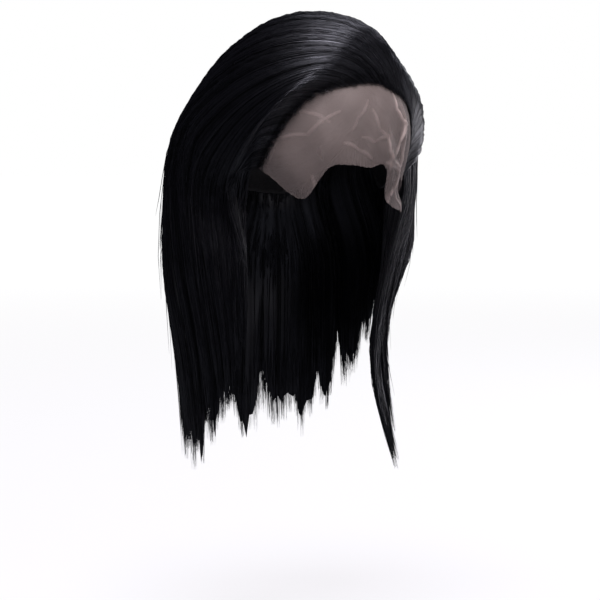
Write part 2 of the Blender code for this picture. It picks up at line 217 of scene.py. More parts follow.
# How the lace's tail draws together and then flares: its columns' width and their shift round the head.
# The rows follow the shorter tail, so they differ from the part's source.
TAIL_MIDDLE = 20
TAIL_HALF_WIDTH = 14
TAIL_FORM = (
    # elevation, width, shift
    (-27, 2.30, 19.0),
    (-23, 1.90, 12.5),
    (-18.5, 0.85, 1.5),
    (-14.5, 0.55, -3.0),
    (-10, 0.80, -1.5),
    (-5, 1.00, 0.0),
    (5, 1.00, 0.0),
)

# Sharp creases of the lace, as lines between two directions, with their half width in degrees and their
# height as a share of CREASE_HEIGHT.
CREASE_HEIGHT = 0.0020
CREASE_BEND = 0.06  # how far a crease bows to one side, as a share of its length
LACE_CREASES = (
    # start_az, start_el, end_az, end_el, half_width, height
    (18, 31.5, 16.5, 24, 0.55, 0.77),
    (16.5, 24, 21, 19, 0.55, 0.85),
    (21, 19, 26, 16, 0.55, 0.68),
    (21, 19, 24, 16.5, 0.55, 0.51),
    (24, 16.5, 19.5, 8, 0.55, 0.85),
    (19.5, 8, 14, 1, 0.55, 0.59),
    (6, 9.5, 8.5, 3, 0.55, 0.47),
    (8.5, 3, 14, -2, 0.55, 0.68),
    (14, -2, 22, -4.5, 0.55, 0.77),
    (7.5, -3, 14, -4, 0.55, 0.51),
    (14, -4, 23.5, -6.5, 0.55, 0.59),
    (23.5, -6.5, 21, -15.5, 0.55, 0.59),
    (19.5, -15.5, 18, -18.5, 0.55, 0.85),
    (18, -18.5, 17.5, -24, 0.55, 0.68),
    (21, -15.5, 27.5, -20, 0.55, 0.68),
    (27.5, -20, 40, -25, 0.55, 0.51),
    (29, 17.5, 23, 2.5, 0.55, 0.51),
    (23, 2.5, 25, -4.5, 0.55, 0.68),
    (-71, -2, -46.5, 5.5, 0.55, 0.19),
    (-46.5, 5.5, -28.5, 19, 0.55, 0.17),
    (-53.5, 16, -34, 13, 0.55, 0.12),
    (-5.5, 22, -1, 12.5, 0.55, 0.17),
    (-1, 12.5, 6, 9.5, 0.55, 0.17),
    (-13, 8, -4, 6.5, 0.55, 0.14),
    (-4, 6.5, 8, 10, 0.55, 0.14),
    (-23.5, 4, -13.5, 1.5, 0.55, 0.22),
    (-13.5, 1.5, -4.5, -1.5, 0.55, 0.19),
    (-40, -14, -37, -23.5, 0.55, 0.19),
    (-9, 27, -16.5, 17, 0.55, 0.14),
    (-16.5, 17, -20, 10.5, 0.55, 0.11),
)


# The hair's guides, from the right temple round the back to the left temple, as in the part's source.
GUIDES = (
    # share, over_az, over_el, lift, fall_az, volume, neck_az, neck, mid_az, mid, hem_az, hem, drop, body
    (-1.00, -80, -16, 0.09, -82, 0.16, -78, 1.02, -77, 1.02, -76, 1.02, 0.38, 0.10),
    (-0.75, -75, -1, 0.16, -84, 0.19, -80, 1.05, -79, 1.04, -78, 1.02, 0.43, 0.12),
    (-0.50, -67, 12, 0.23, -87, 0.24, -83, 1.09, -82, 1.06, -81, 1.03, 0.50, 0.14),
    (-0.34, -67, 19, 0.22, -91, 0.30, -86, 1.16, -85, 1.09, -84, 1.04, 0.59, 0.17),
    (-0.18, -66, 28, 0.20, -97, 0.39, -92, 1.25, -91, 1.14, -90, 1.06, 0.74, 0.21),
    (0.00, -64, 40, 0.19, -107, 0.45, -103, 1.36, -102, 1.22, -101, 1.12, 0.90, 0.25),
    (0.14, -64, 54, 0.19, -122, 0.51, -118, 1.48, -117, 1.33, -116, 1.21, 0.99, 0.27),
    (0.28, -66, 73, 0.18, -146, 0.52, -144, 1.51, -144, 1.42, -143, 1.34, 0.95, 0.25),
    (0.36, -140, 84, 0.15, -170, 0.47, -170, 1.43, -170, 1.36, -170, 1.27, 0.95, 0.23),
    (0.44, 140, 78, 0.14, 160, 0.42, 160, 1.34, 160, 1.25, 160, 1.15, 0.92, 0.22),
    (0.54, 108, 62, 0.19, 132, 0.45, 130, 1.12, 129, 1.02, 129, 0.95, 0.68, 0.17),
    (0.68, 98, 44, 0.26, 110, 0.54, 104, 1.12, 102, 0.92, 101, 0.80, 0.42, 0.15),
    (0.84, 92, 24, 0.28, 97, 0.58, 91, 1.10, 87, 0.87, 83, 0.74, 0.44, 0.14),
    (0.90, 90, 18, 0.26, 92, 0.50, 86, 0.92, 78, 0.67, 62, 0.80, 0.97, 0.12),
    (1.00, 84, 4, 0.12, 82, 0.22, 80, 0.78, 66, 0.57, 54, 0.78, 1.00, 0.11),
)
GUIDE_COLUMNS = (
    "share over_az over_el lift fall_az volume neck_az neck mid_az mid hem_az hem drop body"
).split()
HAIR_PIECES = (
    # node, start, end, locks, crowding
    ("hair_right", -1.00, 0.12, 8, 0.75),
    ("hair_back", 0.12, 0.52, 10, 1.0),
    ("hair_left", 0.52, 0.86, 5, 1.0),
    ("left_front_lock", 0.86, 1.00, 3, 1.0),
)
LOCK_TRIM = (0.02, -0.05, 0.01, -0.02, 0.03, -0.06, 0.00, -0.03)

# The strands of each piece: its node, its first and last lock, and the strands in each lock that start at the
# hairline, that start on the crown, and that line the inside.
STRAND_PIECES = (
    # piece, node, first, last, swept, crown, lining
    ("hair_right_front_strands", "hair_right", 0, 4, 195, 36, 26),
    ("hair_right_side_strands", "hair_right", 4, 8, 195, 44, 26),
    ("hair_back_right_strands", "hair_back", 0, 5, 190, 70, 56),
    ("hair_back_left_strands", "hair_back", 5, 10, 180, 66, 56),
    ("hair_left_strands", "hair_left", 0, 5, 180, 50, 66),
    ("front_lock_strands", "left_front_lock", 0, 3, 190, 20, 50),
)

# The lace's and the cap's mesh.
LACE_COLUMNS = 280
LACE_ROWS = 100
LACE_THICKNESS = 0.0004
LACE_RAGGED_DEG = 0.55
LACE_STEEP_TONE = 1.2
CAP_COLUMNS = 176
CAP_ROWS = 60
WEFT_ROWS = 11
WEFT_HEIGHT = 0.0005

# The finishes. Pairs go from a tone of 0 to a tone of 1, or for the lace from thread to hole.
HAIR_COLOURS = ((0.0008, 0.0008, 0.0014), (0.0080, 0.0075, 0.0120))
HAIR_ROUGHNESS = (0.46, 0.25)
HAIR_GLOSS = (0.10, 0.90)
HAIR_PATCH_SCALE = 38.0
LACE_COLOURS = ((0.68, 0.53, 0.51), (0.84, 0.68, 0.66))
LACE_COVER = (0.31, 0.04)
LACE_FOLD_COVER = 0.85  # how much more the lace covers where it is creased or steep
LACE_PITCH = 0.0011
CAP_COLOURS = ((0.006, 0.006, 0.008), (0.030, 0.028, 0.032))
CAP_NET_SCALE = 620.0
CAP_THREAD = 0.12  # half a thread's width, as a share of a cell

# The camera: it looks at the target from this direction, as the photo does.
CAMERA_AZIMUTH = -33
CAMERA_ELEVATION = 5
CAMERA_DISTANCE = 2.0
CAMERA_TARGET = (-0.03235, 0.00658, -0.24146)
CAMERA_LENS = 132
FLOOR_HEIGHT = -0.56
FLOOR_RADIUS = 14.0

# The lights: soft round lamps that face the head's middle.
LIGHTS = (
    # name, azimuth, elevation, distance, size, watts, colour
    ("key", -40, 62, 2.2, 1.3, 44, (1.0, 0.98, 1.0)),
    ("top", 150, 78, 2.0, 1.6, 10, (0.95, 0.96, 1.0)),
    ("fill", 10, 15, 2.6, 1.8, 8, (1.0, 0.97, 0.95)),
    ("rim", 120, 30, 2.4, 1.2, 8, (0.92, 0.94, 1.0)),
    ("left", 92, 2, 2.4, 1.0, 12, (0.98, 0.96, 1.0)),
)
AMBIENT = (0.020, 0.020, 0.024)
BACKDROP = (1.0, 1.0, 1.0)
FLOOR_COLOUR = (0.24, 0.25, 0.27)
FLOOR_GLOW = (0.80, 0.78, 0.80)  # how light the floor looks beyond what the lights give it


def eased(value):
    """0 to 1 with flat ends."""
    value = np.clip(value, 0, 1)
    return value * value * (3 - 2 * value)


def smooth_rows(at, rows):
    """Reads a table between its rows: the first column is where, and the others go through a cubic."""
    rows = np.asarray(rows, float)
    where, values = rows[:, 0], rows[:, 1:]
    slopes = np.gradient(values, where, axis=0)
    at = np.atleast_1d(np.asarray(at, float))
    low = np.clip(np.searchsorted(where, at) - 1, 0, len(where) - 2)
    span = (where[low + 1] - where[low])[:, None]
    t = ((at - where[low])[:, None] / span).clip(0, 1)
    start, end = values[low], values[low + 1]
    leave, arrive = slopes[low] * span, slopes[low + 1] * span
    return (
        (2 * t**3 - 3 * t**2 + 1) * start
        + (t**3 - 2 * t**2 + t) * leave
        + (3 * t**2 - 2 * t**3) * end
        + (t**3 - t**2) * arrive
    )


def lean():
    """The rotation of the head's own frame."""
    left, forward = math.radians(LEAN_LEFT_DEG), math.radians(LEAN_FORWARD_DEG)
    to_left = np.array(
        [[math.cos(left), 0, math.sin(left)], [0, 1, 0], [-math.sin(left), 0, math.cos(left)]]
    )
    to_front = np.array(
        [[1, 0, 0], [0, math.cos(forward), -math.sin(forward)], [0, math.sin(forward), math.cos(forward)]]
    )
    return to_left @ to_front


HEAD_HALVES = np.array([HEAD_BREADTH / 2, HEAD_LENGTH / 2, CROWN_HEIGHT])
HEAD_TURN = lean()
HEAD_CENTRE = -HEAD_TURN @ np.array([0, 0, CROWN_HEIGHT])
HALF_LENGTH = HEAD_LENGTH / 2
FACET_SAG = HALF_LENGTH * (1 - math.cos(math.pi / SOURCE_SWEPT_ROWS / 2))
PROGRESS = np.concatenate(
    [np.linspace(-1, 0, SWEPT_STEPS + 1), np.linspace(0, 1, HANGING_STEPS + 1)[1:]]
)


def direction(azimuth, elevation):
    """Unit vectors, in the head's frame, of degrees round from the front and degrees up."""
    azimuth, elevation = np.radians(azimuth), np.radians(elevation)
    return np.stack(
        [
            np.sin(azimuth) * np.cos(elevation),
            -np.cos(azimuth) * np.cos(elevation),
            np.sin(elevation) + 0 * azimuth,
        ],
        axis=-1,
    )


def head_point(ray, offset):
    """Points on the head towards each ray, moved off its surface by offset."""
    on_head = ray * HEAD_HALVES
    outward = on_head / HEAD_HALVES**2
    outward /= np.linalg.norm(outward, axis=-1, keepdims=True)
    return (on_head + outward * np.asarray(offset)[..., None]) @ HEAD_TURN.T + HEAD_CENTRE


def cap_edge(azimuth):
    """The elevation of the cap's edge."""
    return smooth_rows(np.abs(azimuth), CAP_EDGE)[:, 0]


def hairline(azimuth):
    """The elevation of the hairline."""
    rows = [(azimuth, elevation) for _, azimuth, elevation in HAIRLINE]
    return smooth_rows(np.abs(azimuth), rows)[:, 0]


def unit(vector):
    """Vectors of length 1 that point the same way."""
    return vector / np.linalg.norm(vector, axis=-1, keepdims=True)


def turned(start, end, share):
    """Unit vectors part of the way from start to end along the great circle between them."""
    angle = np.arccos(np.clip((start * end).sum(-1, keepdims=True), -1, 1))
    return (np.sin((1 - share) * angle) * start + np.sin(share * angle) * end) / np.sin(angle)


def smooth_path(points):
    """A fine path on a cubic through the given points."""
    points = np.asarray(points)
    along = np.concatenate([[0], np.cumsum(np.linalg.norm(np.diff(points, axis=0), axis=1))])
    return smooth_rows(np.linspace(0, along[-1], PATH_STEPS), np.column_stack([along, points]))


def hanging_part(path, start):
    """The part of a path from the point nearest to start on."""
    nearest = np.argmin(np.linalg.norm(path - start, axis=1))
    return np.concatenate([[start], path[nearest + 1 :]])


def sampled(path, shares):
    """Points at the given shares of a path's length."""
    length = np.concatenate([[0], np.cumsum(np.linalg.norm(np.diff(path, axis=0), axis=1))])
    return np.column_stack([np.interp(shares * length[-1], length, column) for column in path.T])


def plan_point(azimuth, reach, drop):
    """A point hanging below the head's widest level, at reach from the head's axis."""
    azimuth = np.radians(azimuth)
    offset = np.stack([reach * np.sin(azimuth), -reach * np.cos(azimuth), -drop], axis=-1)
    return HEAD_CENTRE + offset


def guide_vectors():
    """One row for each guide: its share, and then its directions, points and sizes as plain numbers."""
    rows = []
    for values in GUIDES:
        guide = dict(zip(GUIDE_COLUMNS, values))
        _, root_az, root_el = smooth_rows(abs(guide["share"]), [(row[0], *row) for row in HAIRLINE])[0]
        hem_drop = NECK_DROP + guide["drop"] * (HAIR_DROP - NECK_DROP)
        mid_drop = NECK_DROP + MID_SHARE * (hem_drop - NECK_DROP)
        rows.append(
            [
                guide["share"],
                *direction(math.copysign(root_az, guide["share"]), root_el),
                *direction(guide["over_az"], guide["over_el"]),
                *direction(guide["fall_az"], cap_edge(guide["fall_az"])[0] - BELOW_EDGE_DEG),
                *plan_point(guide["neck_az"], guide["neck"] * HALF_LENGTH, NECK_DROP),
                *plan_point(guide["mid_az"], guide["mid"] * HALF_LENGTH, mid_drop),
                *plan_point(guide["hem_az"], guide["hem"] * HALF_LENGTH, hem_drop),
                guide["lift"] * HALF_LENGTH,
                guide["volume"] * HALF_LENGTH,
                guide["body"] * HALF_LENGTH,
            ]
        )
    return rows


def hair_path(share, trim, guides):
    """The outer, inner and scalp path of the hair that starts at a share of the hairline."""
    values = smooth_rows(share, guides)[0]
    root, over, fall = (unit(values[k : k + 3]) for k in (0, 3, 6))
    neck, mid, hem = values[9:12], values[12:15], values[15:18] - np.array([0, 0, trim * HAIR_DROP])
    lift, volume, body = values[18:21]
    swept = np.linspace(0, 1, SWEPT_STEPS + 1)[:, None]
    ray = turned(turned(root, over, swept), turned(over, fall, swept), swept)
    swept = swept[:, 0]
    early = eased(swept / SWEEP_RISE)
    late = np.clip((swept - SWEEP_RISE) / (1 - SWEEP_RISE), 0, 1) ** VOLUME_POWER
    stand_off = ROOT_THICKNESS + (lift - ROOT_THICKNESS) * early + (volume - lift) * late
    base = max(CAP_WALL, LACE_WALL) + FACET_SAG + HAIR_CLEARANCE
    outer_head, inner_head = head_point(ray, base + stand_off), head_point(ray, base + 0 * swept)
    outward = [unit((point - HEAD_CENTRE) * np.array([1, 1, 0])) for point in (neck, mid, hem)]
    walls = (body, body * (1 - MID_SHARE) + TIP_THICKNESS * MID_SHARE, TIP_THICKNESS)
    inside = [point - way * wall for point, way, wall in zip((neck, mid, hem), outward, walls)]
    rows = np.linspace(0, 1, HANGING_STEPS + 1)[1:]
    every = SWEPT_STEPS // SOURCE_SWEPT_ROWS
    paths = []
    for on_head, hanging in ((outer_head, [neck, mid, hem]), (inner_head, inside)):
        path = smooth_path([*on_head[-1 - 2 * every :: every], *hanging])
        paths.append(np.concatenate([on_head, sampled(hanging_part(path, on_head[-1]), rows)]))
    scalp = np.concatenate([head_point(ray, LACE_WALL + 0 * swept), paths[1][SWEPT_STEPS + 1 :]])
    return paths[0], paths[1], scalp


def lock_skins(start, end, trim, guides):
    """The outer, inner and scalp points of one lock, as [skin][row][column], from one share of the hairline
    to another. Below the split it narrows towards its middle line."""
    shares = np.linspace(start, end, ACROSS_STEPS + 1)
    skins = np.stack([hair_path(share, trim, guides) for share in shares], axis=2)
    centre = skins[:, :, ACROSS_STEPS // 2, None]
    tip_share = LOCK_TIP_SHARE + LOCK_TIP_VARIETY * math.sin(TIP_VARIETY_WAVE * start)
    narrow = 1 - (1 - tip_share) * eased((PROGRESS - SPLIT_SHARE) / (1 - SPLIT_SHARE))
    skins = centre + (skins - centre) * narrow[None, :, None, None]
    wall = skins[0] - skins[1]
    relief = np.minimum(LOCK_RELIEF, RELIEF_SHARE * np.linalg.norm(wall, axis=-1))
    bulge = np.sin(np.pi * np.linspace(0, 1, ACROSS_STEPS + 1)) ** LOCK_ROUNDNESS - 1
    grown = relief * eased((PROGRESS + 1) / RELIEF_RISE)[:, None] * bulge
    skins[0] += unit(wall) * grown[..., None]
    return skins


def trim_of(lock, locks):
    """How much shorter a lock is, as a share of HAIR_DROP. A piece's first and last lock are whole."""
    return LOCK_TRIM[lock % len(LOCK_TRIM)] if 0 < lock < locks - 1 else 0


def skins_at(skins, progress, across):
    """The skins' points at each progress and share across, between the rows and columns."""
    row = np.interp(progress, PROGRESS, np.arange(len(PROGRESS)))
    column = np.clip(across, 0, 1) * ACROSS_STEPS
    low_row = np.clip(row.astype(int), 0, len(PROGRESS) - 2)
    low_column = np.clip(column.astype(int), 0, ACROSS_STEPS - 1)
    down, along = (row - low_row)[..., None], (column - low_column)[..., None]
    near = skins[:, low_row, low_column] * (1 - along) + skins[:, low_row, low_column + 1] * along
    far = skins[:, low_row + 1, low_column] * (1 - along) + skins[:, low_row + 1, low_column + 1] * along
    return near * (1 - down) + far * down


def make_piece(name, slot, points, faces, tone=None, flat=None):
    """A mesh piece on the body, from points and arrays of faces with equally many sides, with its tone and
    its place on the flat sheet."""
    mesh = bpy.data.meshes.new(name)
    corners = np.concatenate([part.ravel() for part in faces])
    sides = np.concatenate([np.full(len(part), part.shape[1]) for part in faces])
    mesh.vertices.add(len(points))
    mesh.vertices.foreach_set("co", np.asarray(points, np.float32).ravel())
    mesh.loops.add(len(corners))
    mesh.polygons.add(len(sides))
    mesh.polygons.foreach_set("loop_start", np.concatenate([[0], np.cumsum(sides)[:-1]]).astype(np.int32))
    mesh.polygons.foreach_set("vertices", corners.astype(np.int32))
    mesh.update(calc_edges=True)
    mesh.shade_smooth()
    if tone is not None:
        mesh.attributes.new("tone", "FLOAT", "POINT").data.foreach_set("value", tone.astype(np.float32))
    if flat is not None:
        layer = mesh.uv_layers.new(name="flat")
        layer.data.foreach_set("uv", np.asarray(flat, np.float32)[corners].ravel())
    mesh.materials.append(bpy.data.materials[slot])
    obj = bpy.data.objects.new(name, mesh)
    bpy.context.scene.collection.objects.link(obj)
    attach(obj, "root")
    return obj


def grid_quads(rows, columns, first=0):
    """Quads of a grid of points that are numbered row by row."""
    corner = (np.arange(rows - 1)[:, None] * columns + np.arange(columns - 1)).ravel() + first
    return np.column_stack([corner, corner + 1, corner + columns + 1, corner + columns])


def closed_wall(outer, inner):
    """The points and quads of a closed wall between two grids of points, [row][column]."""
    rows, columns = outer.shape[:2]
    inside = rows * columns
    grid = np.arange(inside).reshape(rows, columns)
    rim = np.concatenate([grid[0], grid[1:, -1], grid[-1, -2::-1], grid[-2:0:-1, 0]])
    beside = np.roll(rim, -1)
    edges = np.column_stack([beside, rim, inside + rim, inside + beside])
    faces = np.concatenate(
        [grid_quads(rows, columns), grid_quads(rows, columns, inside)[:, ::-1], edges]
    )
    return np.concatenate([outer.reshape(-1, 3), inner.reshape(-1, 3)]), faces


def lock_edges(start, end, locks, crowding):
    """The shares of the hairline between a piece's locks."""
    return start + (end - start) * np.linspace(0, 1, locks + 1) ** crowding


def hair_core(node, start, end, locks, crowding, guides):
    """The dark mass under the strands of one node: one closed wall that thins out near the tips."""
    rng = np.random.default_rng(SEED + locks)
    edges = lock_edges(start, end, locks, crowding)
    outer, inner, flats = [], [], []
    down = np.linspace(0, 1, CORE_ROWS)[:, None]
    for lock in range(locks):
        skins = lock_skins(edges[lock], edges[lock + 1], trim_of(lock, locks), guides)
        columns = ACROSS_STEPS if lock < locks - 1 else ACROSS_STEPS + 1
        across = np.linspace(0, 1, ACROSS_STEPS + 1)[None, :columns]
        ends = CORE_END + CORE_END_SPREAD * (np.sin(np.pi * across) - 1 + rng.random((1, columns)))
        progress = CORE_START + (ends - CORE_START) * down
        outside, inside, _ = skins_at(skins, progress, across + 0 * progress)
        wall = outside - inside
        thick = np.linalg.norm(wall, axis=-1, keepdims=True)
        top = outside - unit(wall) * np.minimum(CORE_INSET, CORE_INSET_SHARE * thick)
        lining = inside + unit(wall) * np.minimum(CORE_LINING, CORE_LINING_SHARE * thick)
        grown = 0.08 + 0.92 * eased((progress - CORE_START) / CORE_RISE)[..., None]
        top = lining + (top - lining) * grown
        open_side = np.ones_like(across)
        if lock == 0:
            open_side = np.minimum(open_side, across)
        if lock == locks - 1:
            open_side = np.minimum(open_side, 1 - across)
        taper = 1 - 0.8 * eased((down - 0.8) / 0.2)
        taper = (taper * (0.1 + 0.9 * eased(open_side / CORE_EDGE_SHARE)))[..., None]
        middle = (top + lining) / 2
        outer.append(middle + (top - middle) * taper)
        inner.append(middle + (lining - middle) * taper)
        flats.append(np.stack([(lock + across) * 0.02 + 0 * progress, progress * 0.25], axis=-1))
    outer, inner, flat = (np.concatenate(parts, axis=1) for parts in (outer, inner, flats))
    points, faces = closed_wall(outer, inner)
    flat = np.concatenate([flat.reshape(-1, 2)] * 2)
    tone = np.repeat(rng.random(outer.shape[1])[None], 2 * CORE_ROWS, axis=0).ravel() * 0.5
    core = make_piece(node + "_core", "hair", points, [faces], tone, flat)
    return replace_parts(core, node)


def between(rng, span, count):
    """Random values between the two ends of a span."""
    low, high = span
    return low + (high - low) * rng.random(count)


def wander(rng, progress, waves):
    """A smooth random wave along each strand, about -1 to 1."""
    count = len(progress)
    total = np.zeros(progress.shape)
    for wave in waves:
        speed = wave * (0.7 + 0.6 * rng.random((count, 1)))
        total += np.sin(speed * progress + 2 * np.pi * rng.random((count, 1)))
    return total / len(waves)


def strand_progress(start, end, steps, rng):
    """Progress values along each strand, closer together at its root and where it bends over the head."""
    detail = SWEPT_DETAIL * (0.85 + 0.3 * rng.random(len(start)))[:, None]
    start, end = start[:, None], end[:, None]
    swept = (np.minimum(end, 0) - np.minimum(start, 0)) * detail
    hanging = np.maximum(end, 0) - np.maximum(start, 0)
    shares = np.concatenate([[0], np.linspace(0, 1, steps)])
    first = np.where(np.arange(steps + 1) > 0, ROOT_STEP * detail, 0)
    place = first + shares * (swept + hanging - ROOT_STEP * detail)
    on_head = place <= swept + ROUNDING
    return np.where(on_head, start + place / detail, np.maximum(start, 0) + place - swept)


def lock_strands(rng, skins, count, steps, layer, open_edge):
    """The points, outward directions, radii and tones of the strands of one lock in one layer."""
    home = (rng.permutation(count) + rng.random(count)) / count
    wisp = np.minimum((home * WISPS).astype(int), WISPS - 1)
    shift = (rng.random(WISPS) - 0.5) * WISP_JITTER
    depth = rng.random(WISPS) * WISP_DEPTH
    centre = ((wisp + 0.5 + shift[wisp]) / WISPS)[:, None]
    offset = ((home * WISPS - wisp - 0.5) * WISP_SPREAD / WISPS)[:, None]
    edge = np.abs(2 * centre[:, 0] - 1)
    lengths = 1 - WISP_SHORTENING * (0.6 * edge + 1.5 * rng.random(WISPS)[wisp])
    end = lengths * (1 - TIP_SCATTER * rng.random(count) ** TIP_SCATTER_POWER)
    start = between(rng, STRAND_STARTS[layer], count)
    if layer == "short":
        end = start + between(rng, SHORT_LENGTH, count)
    fly = rng.random(count) < FLYAWAY_SHARE * (layer != "lining")
    if layer != "short":
        end = np.where(fly, end * between(rng, FLYAWAY_END, count), end)
    progress = strand_progress(start, end, steps, rng)
    since = progress - start[:, None]
    along = since / (end - start)[:, None]
    clump = eased((progress - CLUMP_START) / (end[:, None] - CLUMP_START)) * (layer != "short")
    width = 0.85 + 0.15 * eased(progress / 0.2) - (1 - WISP_TIP_SHARE) * clump
    gather = eased(since / WISP_GATHER)
    across = home[:, None] + (centre + offset * width - home[:, None]) * gather
    across = across + 0.10 / WISPS * wander(rng, progress, (3, 7)) * gather
    outer, inner, scalp = skins_at(skins, progress, across)
    wall = outer - inner
    outward = unit(wall)
    thick = np.linalg.norm(wall, axis=-1)
    loose = np.maximum(eased(progress / 0.7), eased(1 - np.minimum(across, 1 - across) / 0.05) * open_edge)
    sink = rng.random((count, 1)) ** 1.4 * (STRAND_LAYER * (1 - loose) + 0.85 * thick * loose)
    sink = np.minimum(sink + depth[wisp][:, None] * gather, 0.85 * thick)
    if layer == "lining":
        lines = inner + outward * np.minimum(sink, 0.5 * thick)[..., None]
    else:
        lines = outer - outward * sink[..., None]
    rise = eased(since / ROOT_RISE)[..., None]
    if layer == "swept":
        lines = scalp + (lines - scalp) * rise
    elif layer == "short":
        lines = scalp + (lines - scalp) * (0.10 + 0.35 * rng.random((count, 1, 1))) * rise
    else:
        lines = lines - outward * (1 - rise) * BURIED * (1 if layer == "crown" else -1)
    side = unit(np.cross(np.gradient(lines, axis=1), outward))
    if layer in ("swept", "short"):
        ahead = ROOT_SCATTER * (rng.random((count, 1)) ** 1.6 + 0.3 * (layer == "short"))
        hairline_ends = skins_at(skins, np.array([[-1.0, -1.0]]), np.array([[0.0, 1.0]]))[2]
        forward = unit(np.cross(outward[:, :1], hairline_ends[:, 1:] - hairline_ends[:, :1]))
        forward = forward * np.sign(((lines[:, :1] - lines[:, 3:4]) * forward).sum(-1, keepdims=True))
        settling = np.exp(-since / ROOT_SETTLE)
        lines = lines + forward * (ahead * settling)[..., None]
        lifted = ROOT_LIFT * (0.6 + 0.8 * rng.random((count, 1)))
        lines = lines + outward * (lifted * settling)[..., None]
        stray = SHORT_STRAY if layer == "short" else ROOT_STRAY
        lines = lines + side * (stray * (rng.random((count, 1)) - 0.5) * settling)[..., None]
    loose_width = WANDER_AT_ROOT + (WANDER_AT_TIP - WANDER_AT_ROOT) * eased(progress + 0.1)
    lines = lines + side * (loose_width * wander(rng, progress, (2, 5, 9)))[..., None] * rise
    lines = lines + outward * (0.4 * loose_width * wander(rng, progress, (2, 6)))[..., None] * rise
    reach = FLYAWAY_REACH * rng.random((count, 1)) * along**5 * fly[:, None] * (layer != "short")
    lines = lines + (outward + side * 1.6 * (rng.random((count, 1, 1)) - 0.5)) * reach[..., None]
    radius = STRAND_RADIUS * (0.75 + 0.5 * rng.random((count, 1)))
    radius = radius * (ROOT_RADIUS_SHARE + (1 - ROOT_RADIUS_SHARE) * eased(along / ROOT_TAPER))
    radius = radius * (1 - (1 - TIP_RADIUS_SHARE) * eased((along - 1 + TIP_TAPER) / TIP_TAPER))
    if layer == "short":
        radius = radius * SHORT_RADIUS_SHARE
    tone = 0.55 * rng.random(WISPS)[wisp] + 0.45 * rng.random(count)
    return lines, outward, radius, np.repeat(tone, (steps + 1) * STRAND_SIDES)


def strand_tubes(lines, outward, radius):
    """The points of three-sided tubes along each line, and their sides and ends as faces."""
    count, steps = lines.shape[:2]
    along = unit(np.gradient(lines, axis=1))
    side = unit(np.cross(along, outward))
    up = np.cross(side, along)
    turn = (2 * np.pi * np.arange(STRAND_SIDES) / STRAND_SIDES)[:, None]
    ring = np.cos(turn) * up[:, :, None] + np.sin(turn) * side[:, :, None]
    points = lines[:, :, None] + radius[..., None, None] * ring
    number = np.arange(count * steps * STRAND_SIDES).reshape(count, steps, STRAND_SIDES)
    beside = np.roll(number, -1, axis=2)
    quads = np.stack([number[:, :-1], number[:, 1:], beside[:, 1:], beside[:, :-1]], axis=-1)
    ends = np.concatenate([number[:, 0], number[:, -1, ::-1]])
    return points.reshape(-1, 3), quads.reshape(-1, 4), ends


def strand_piece(name, node, first, last, swept, crown, lining, guides):
    """The strands of a run of locks, as one piece."""
    rng = np.random.default_rng([SEED, *name.encode()])
    _, start, end, locks, crowding = next(row for row in HAIR_PIECES if row[0] == node)
    edges = lock_edges(start, end, locks, crowding)
    points, quads, ends, tones = [], [], [], []
    placed = 0
    for lock in range(first, last):
        skins = lock_skins(edges[lock], edges[lock + 1], trim_of(lock, locks), guides)
        open_edge = lock in (0, locks - 1)
        counts = {"swept": swept, "crown": crown, "lining": lining, "short": SHORT_HAIRS}
        for layer, count in counts.items():
            steps = STRAND_STEPS[layer]
            lines, outward, radius, tone = lock_strands(rng, skins, count, steps, layer, open_edge)
            tube, sides, caps = strand_tubes(lines, outward, radius)
            points.append(tube)
            quads.append(sides + placed)
            ends.append(caps + placed)
            tones.append(tone)
            placed += len(tube)
    faces = [np.concatenate(quads), np.concatenate(ends)]
    return make_piece(name, "hair", np.concatenate(points), faces, np.concatenate(tones))


def lace_azimuth(column, elevation):
    """Where round the head each point of the lace lies: the tail's columns draw together and then flare."""
    form = smooth_rows(elevation.ravel(), TAIL_FORM)
    width, shift = form[:, 0].reshape(elevation.shape), form[:, 1].reshape(elevation.shape)
    share = np.exp(-(((column - TAIL_MIDDLE) / TAIL_HALF_WIDTH) ** 4))
    return column + share * ((width - 1) * (column - TAIL_MIDDLE) + shift)


def lace_relief(azimuth, elevation):
    """How far the lace stands off the head: ripples, folds, the tail and the temple, and then creases. Also
    the creases' height alone."""
    around_waves, slant, upright = RIPPLE_WAVES
    wave = np.sin(np.radians(azimuth * around_waves + elevation * slant))
    wave = wave * np.cos(np.radians(elevation * upright))
    relief = LACE_RIPPLE * (1 + wave)
    for crest, half_width, height, fold_slant, highest in LACE_FOLDS:
        across = (azimuth - crest - fold_slant * elevation) / half_width
        along = (elevation - highest) / FOLD_LENGTH_DEG
        relief += LACE_FOLD * height * np.exp(-1.4 * np.sqrt(across**2 + 0.02) - along**2)
    low = eased((TAIL_TOP_DEG - elevation) / TAIL_GROWTH_DEG)
    left = eased((azimuth - TAIL_START_DEG) / TAIL_SPREAD_DEG)
    relief += TAIL_STAND_OFF * low * left
    across = (azimuth - TEMPLE_CENTRE[0]) / TEMPLE_SPREAD[0]
    along = (elevation - TEMPLE_CENTRE[1]) / TEMPLE_SPREAD[1]
    relief -= TEMPLE_TUCK * np.exp(-(across**2) - along**2)
    crease = lace_crease(azimuth, elevation)
    relief += CREASE_HEIGHT * crease
    free = eased((hairline(azimuth.ravel()).reshape(azimuth.shape) - elevation) / LACE_FREE_DEG)
    return LACE_WALL + relief * free, crease


